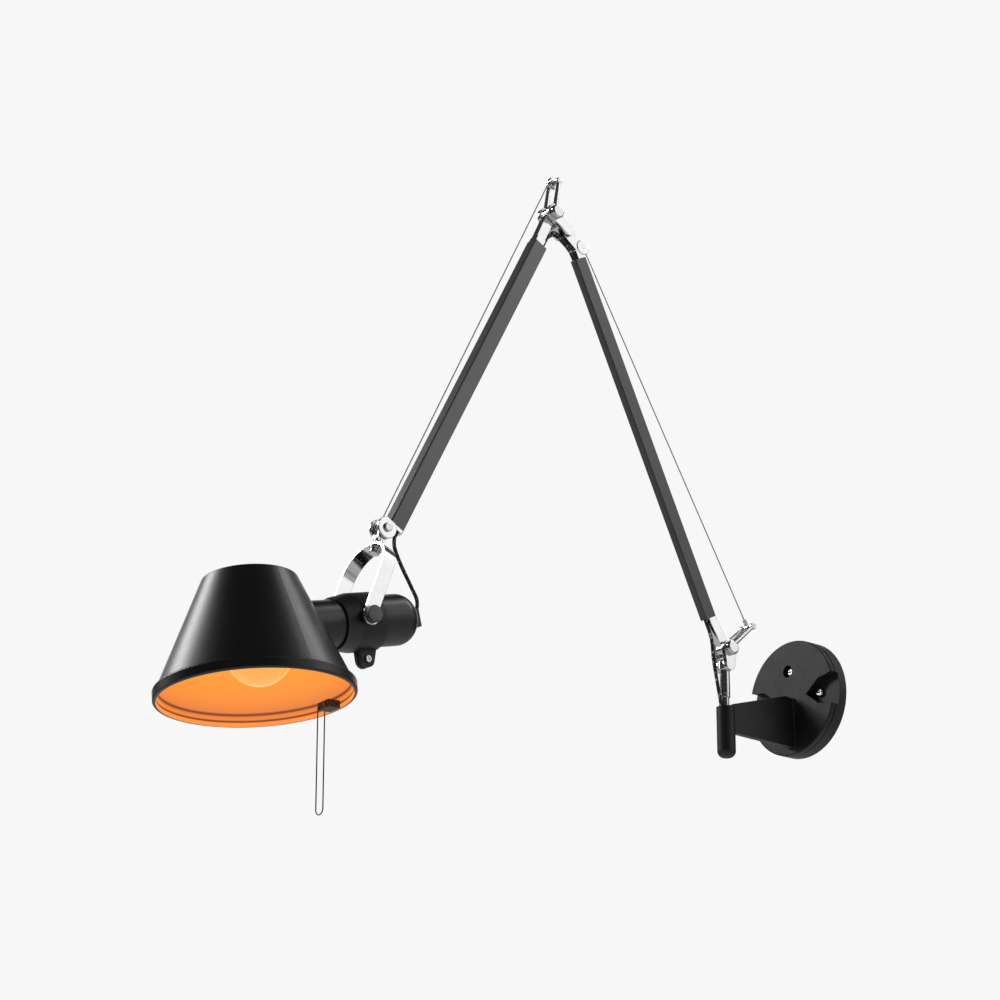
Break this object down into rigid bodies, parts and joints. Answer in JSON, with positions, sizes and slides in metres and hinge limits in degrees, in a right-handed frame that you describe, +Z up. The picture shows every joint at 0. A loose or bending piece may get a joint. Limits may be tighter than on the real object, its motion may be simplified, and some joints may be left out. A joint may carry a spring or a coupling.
{
  "type": "accordion wall lamp",
  "caption": "Wall lamp with two folding balanced arms on a round wall plate, a yoke-held lampholder and a conical shade.",
  "frame": {"origin": "centre of the wall plate's back face, which lies on the wall", "axes": "+Z up; -Y away from the wall into the room; the arms lie in the plane X = 0"},
  "size_m": [0.1801, 0.7792, 0.7033],
  "materials": {
    "satin_black_aluminium": "satin black anodised",
    "satin_black_paint": "satin black paint over a white-lined spun shade",
    "textured_black_paint": "fine textured black",
    "polished_aluminium": "polished",
    "chrome": "mirror polished",
    "steel": "bright",
    "spring_steel": "oiled",
    "zinc_plate": "zinc plated",
    "brass": "bright",
    "clear_glass": "clear, warm",
    "grey_plastic": "matt",
    "white_nylon": "matt",
    "black_plastic": "matt",
    "black_cable": "woven sleeve with light flecks",
    "glazed_ceramic": "glazed"
  },
  "bodies": {
    "wall_side": {"wall_plate": "zinc_plate", "wall_cover": "textured_black_paint", "bracket": "textured_black_paint", "spindle_bushes": "white_nylon", "cover_screws": "steel", "lock_screw": "steel", "bracket_screws": "steel", "terminal_block": "white_nylon", "wall_cable": "black_cable"},
    "swivel": {"spindle": "chrome", "swivel_casting": "polished_aluminium", "wall_horn_pin": "steel", "cable_ferrule": "brass", "shoulder_bolt": "chrome", "shoulder_nut": "chrome", "shoulder_washers": "white_nylon"},
    "lower_arm": {"lower_tube": "satin_black_aluminium", "lower_arm_eye": "polished_aluminium", "elbow_casting": "polished_aluminium", "lower_cable_guide": "white_nylon", "lower_steel_cable": "steel", "lower_spring": "spring_steel", "lower_spring_stop": "brass", "elbow_bolt": "chrome", "elbow_nut": "chrome", "elbow_washers": "white_nylon", "elbow_horn_guide": "polished_aluminium", "lower_arm_pins": "steel", "lower_power_cable": "black_cable"},
    "upper_arm": {"upper_tube": "satin_black_aluminium", "upper_arm_eye": "polished_aluminium", "head_fork": "polished_aluminium", "upper_spring": "spring_steel", "upper_spring_stop": "brass", "upper_steel_cable": "steel", "upper_cable_guide": "white_nylon", "head_hinge_rivet": "steel", "head_washers": "white_nylon", "elbow_leads": "black_cable", "upper_power_cable": "black_cable"},
    "head_link": {"head_link": "polished_aluminium", "yoke_nut": "chrome", "yoke_power_cable": "black_cable"},
    "yoke": {"yoke": "polished_aluminium", "knob_ring": "chrome", "tilt_screw": "steel"},
    "tilt_knob": {"tilt_knob": "grey_plastic"},
    "lampholder": {"lampholder_dome": "satin_black_paint", "lampholder_band": "textured_black_paint", "band_screw": "steel", "lampholder_flange": "satin_black_paint", "lamp_socket": "glazed_ceramic", "bulb_glass": "clear_glass", "bulb_cap": "steel", "cord_grip": "grey_plastic", "head_power_cable": "black_cable"},
    "shade": {"shade": "satin_black_paint", "shade_collar": "satin_black_paint", "handle_clip": "black_plastic"},
    "handle": {"wire_loop": "steel"}
  },
  "joints": [
    {"name": "wall_swivel", "type": "hinge", "parent": "wall_side", "child": "swivel", "pos_m": [0, -0.1125, 0], "axis": [0, 0, 1], "range_deg": [-90, 90]},
    {"name": "lower_arm_hinge", "type": "hinge", "parent": "swivel", "child": "lower_arm", "pos_m": [0, -0.1125, 0.0338], "axis": [1, 0, 0], "range_deg": [-20, 55], "deforming": ["lower_steel_cable", "lower_power_cable"]},
    {"name": "elbow_hinge", "type": "hinge", "parent": "lower_arm", "child": "upper_arm", "pos_m": [0, -0.34133, 0.44645], "axis": [1, 0, 0], "range_deg": [-70, 25], "deforming": ["upper_steel_cable", "elbow_leads"]},
    {"name": "head_hinge", "type": "hinge", "parent": "upper_arm", "child": "head_link", "pos_m": [0, -0.54756, 0.06875], "axis": [1, 0, 0], "range_deg": [-50, 50], "deforming": ["upper_power_cable", "yoke_power_cable"]},
    {"name": "yoke_swivel", "type": "hinge", "parent": "head_link", "child": "yoke", "pos_m": [0, -0.54756, 0.06875], "axis": [0, -0.3525, -0.9358], "range_deg": [-90, 90]},
    {"name": "lampholder_tilt", "type": "hinge", "parent": "yoke", "child": "lampholder", "pos_m": [0, -0.58436, -0.02895], "axis": [1, 0, 0], "range_deg": [-60, 40], "deforming": ["head_power_cable"]},
    {"name": "knob_turn", "type": "hinge", "parent": "yoke", "child": "tilt_knob", "pos_m": [0, -0.58436, -0.02895], "axis": [1, 0, 0], "range_deg": [-45, 45]},
    {"name": "shade_turn", "type": "hinge", "parent": "lampholder", "child": "shade", "pos_m": [0, -0.58436, -0.02895], "axis": [0, -0.9703, -0.2419], "range_deg": [-90, 90]},
    {"name": "loop_swing", "type": "hinge", "parent": "shade", "child": "handle", "pos_m": [0.00505, -0.61765, -0.11264], "axis": [1, 0, 0], "range_deg": [-25, 25]}
  ]
}
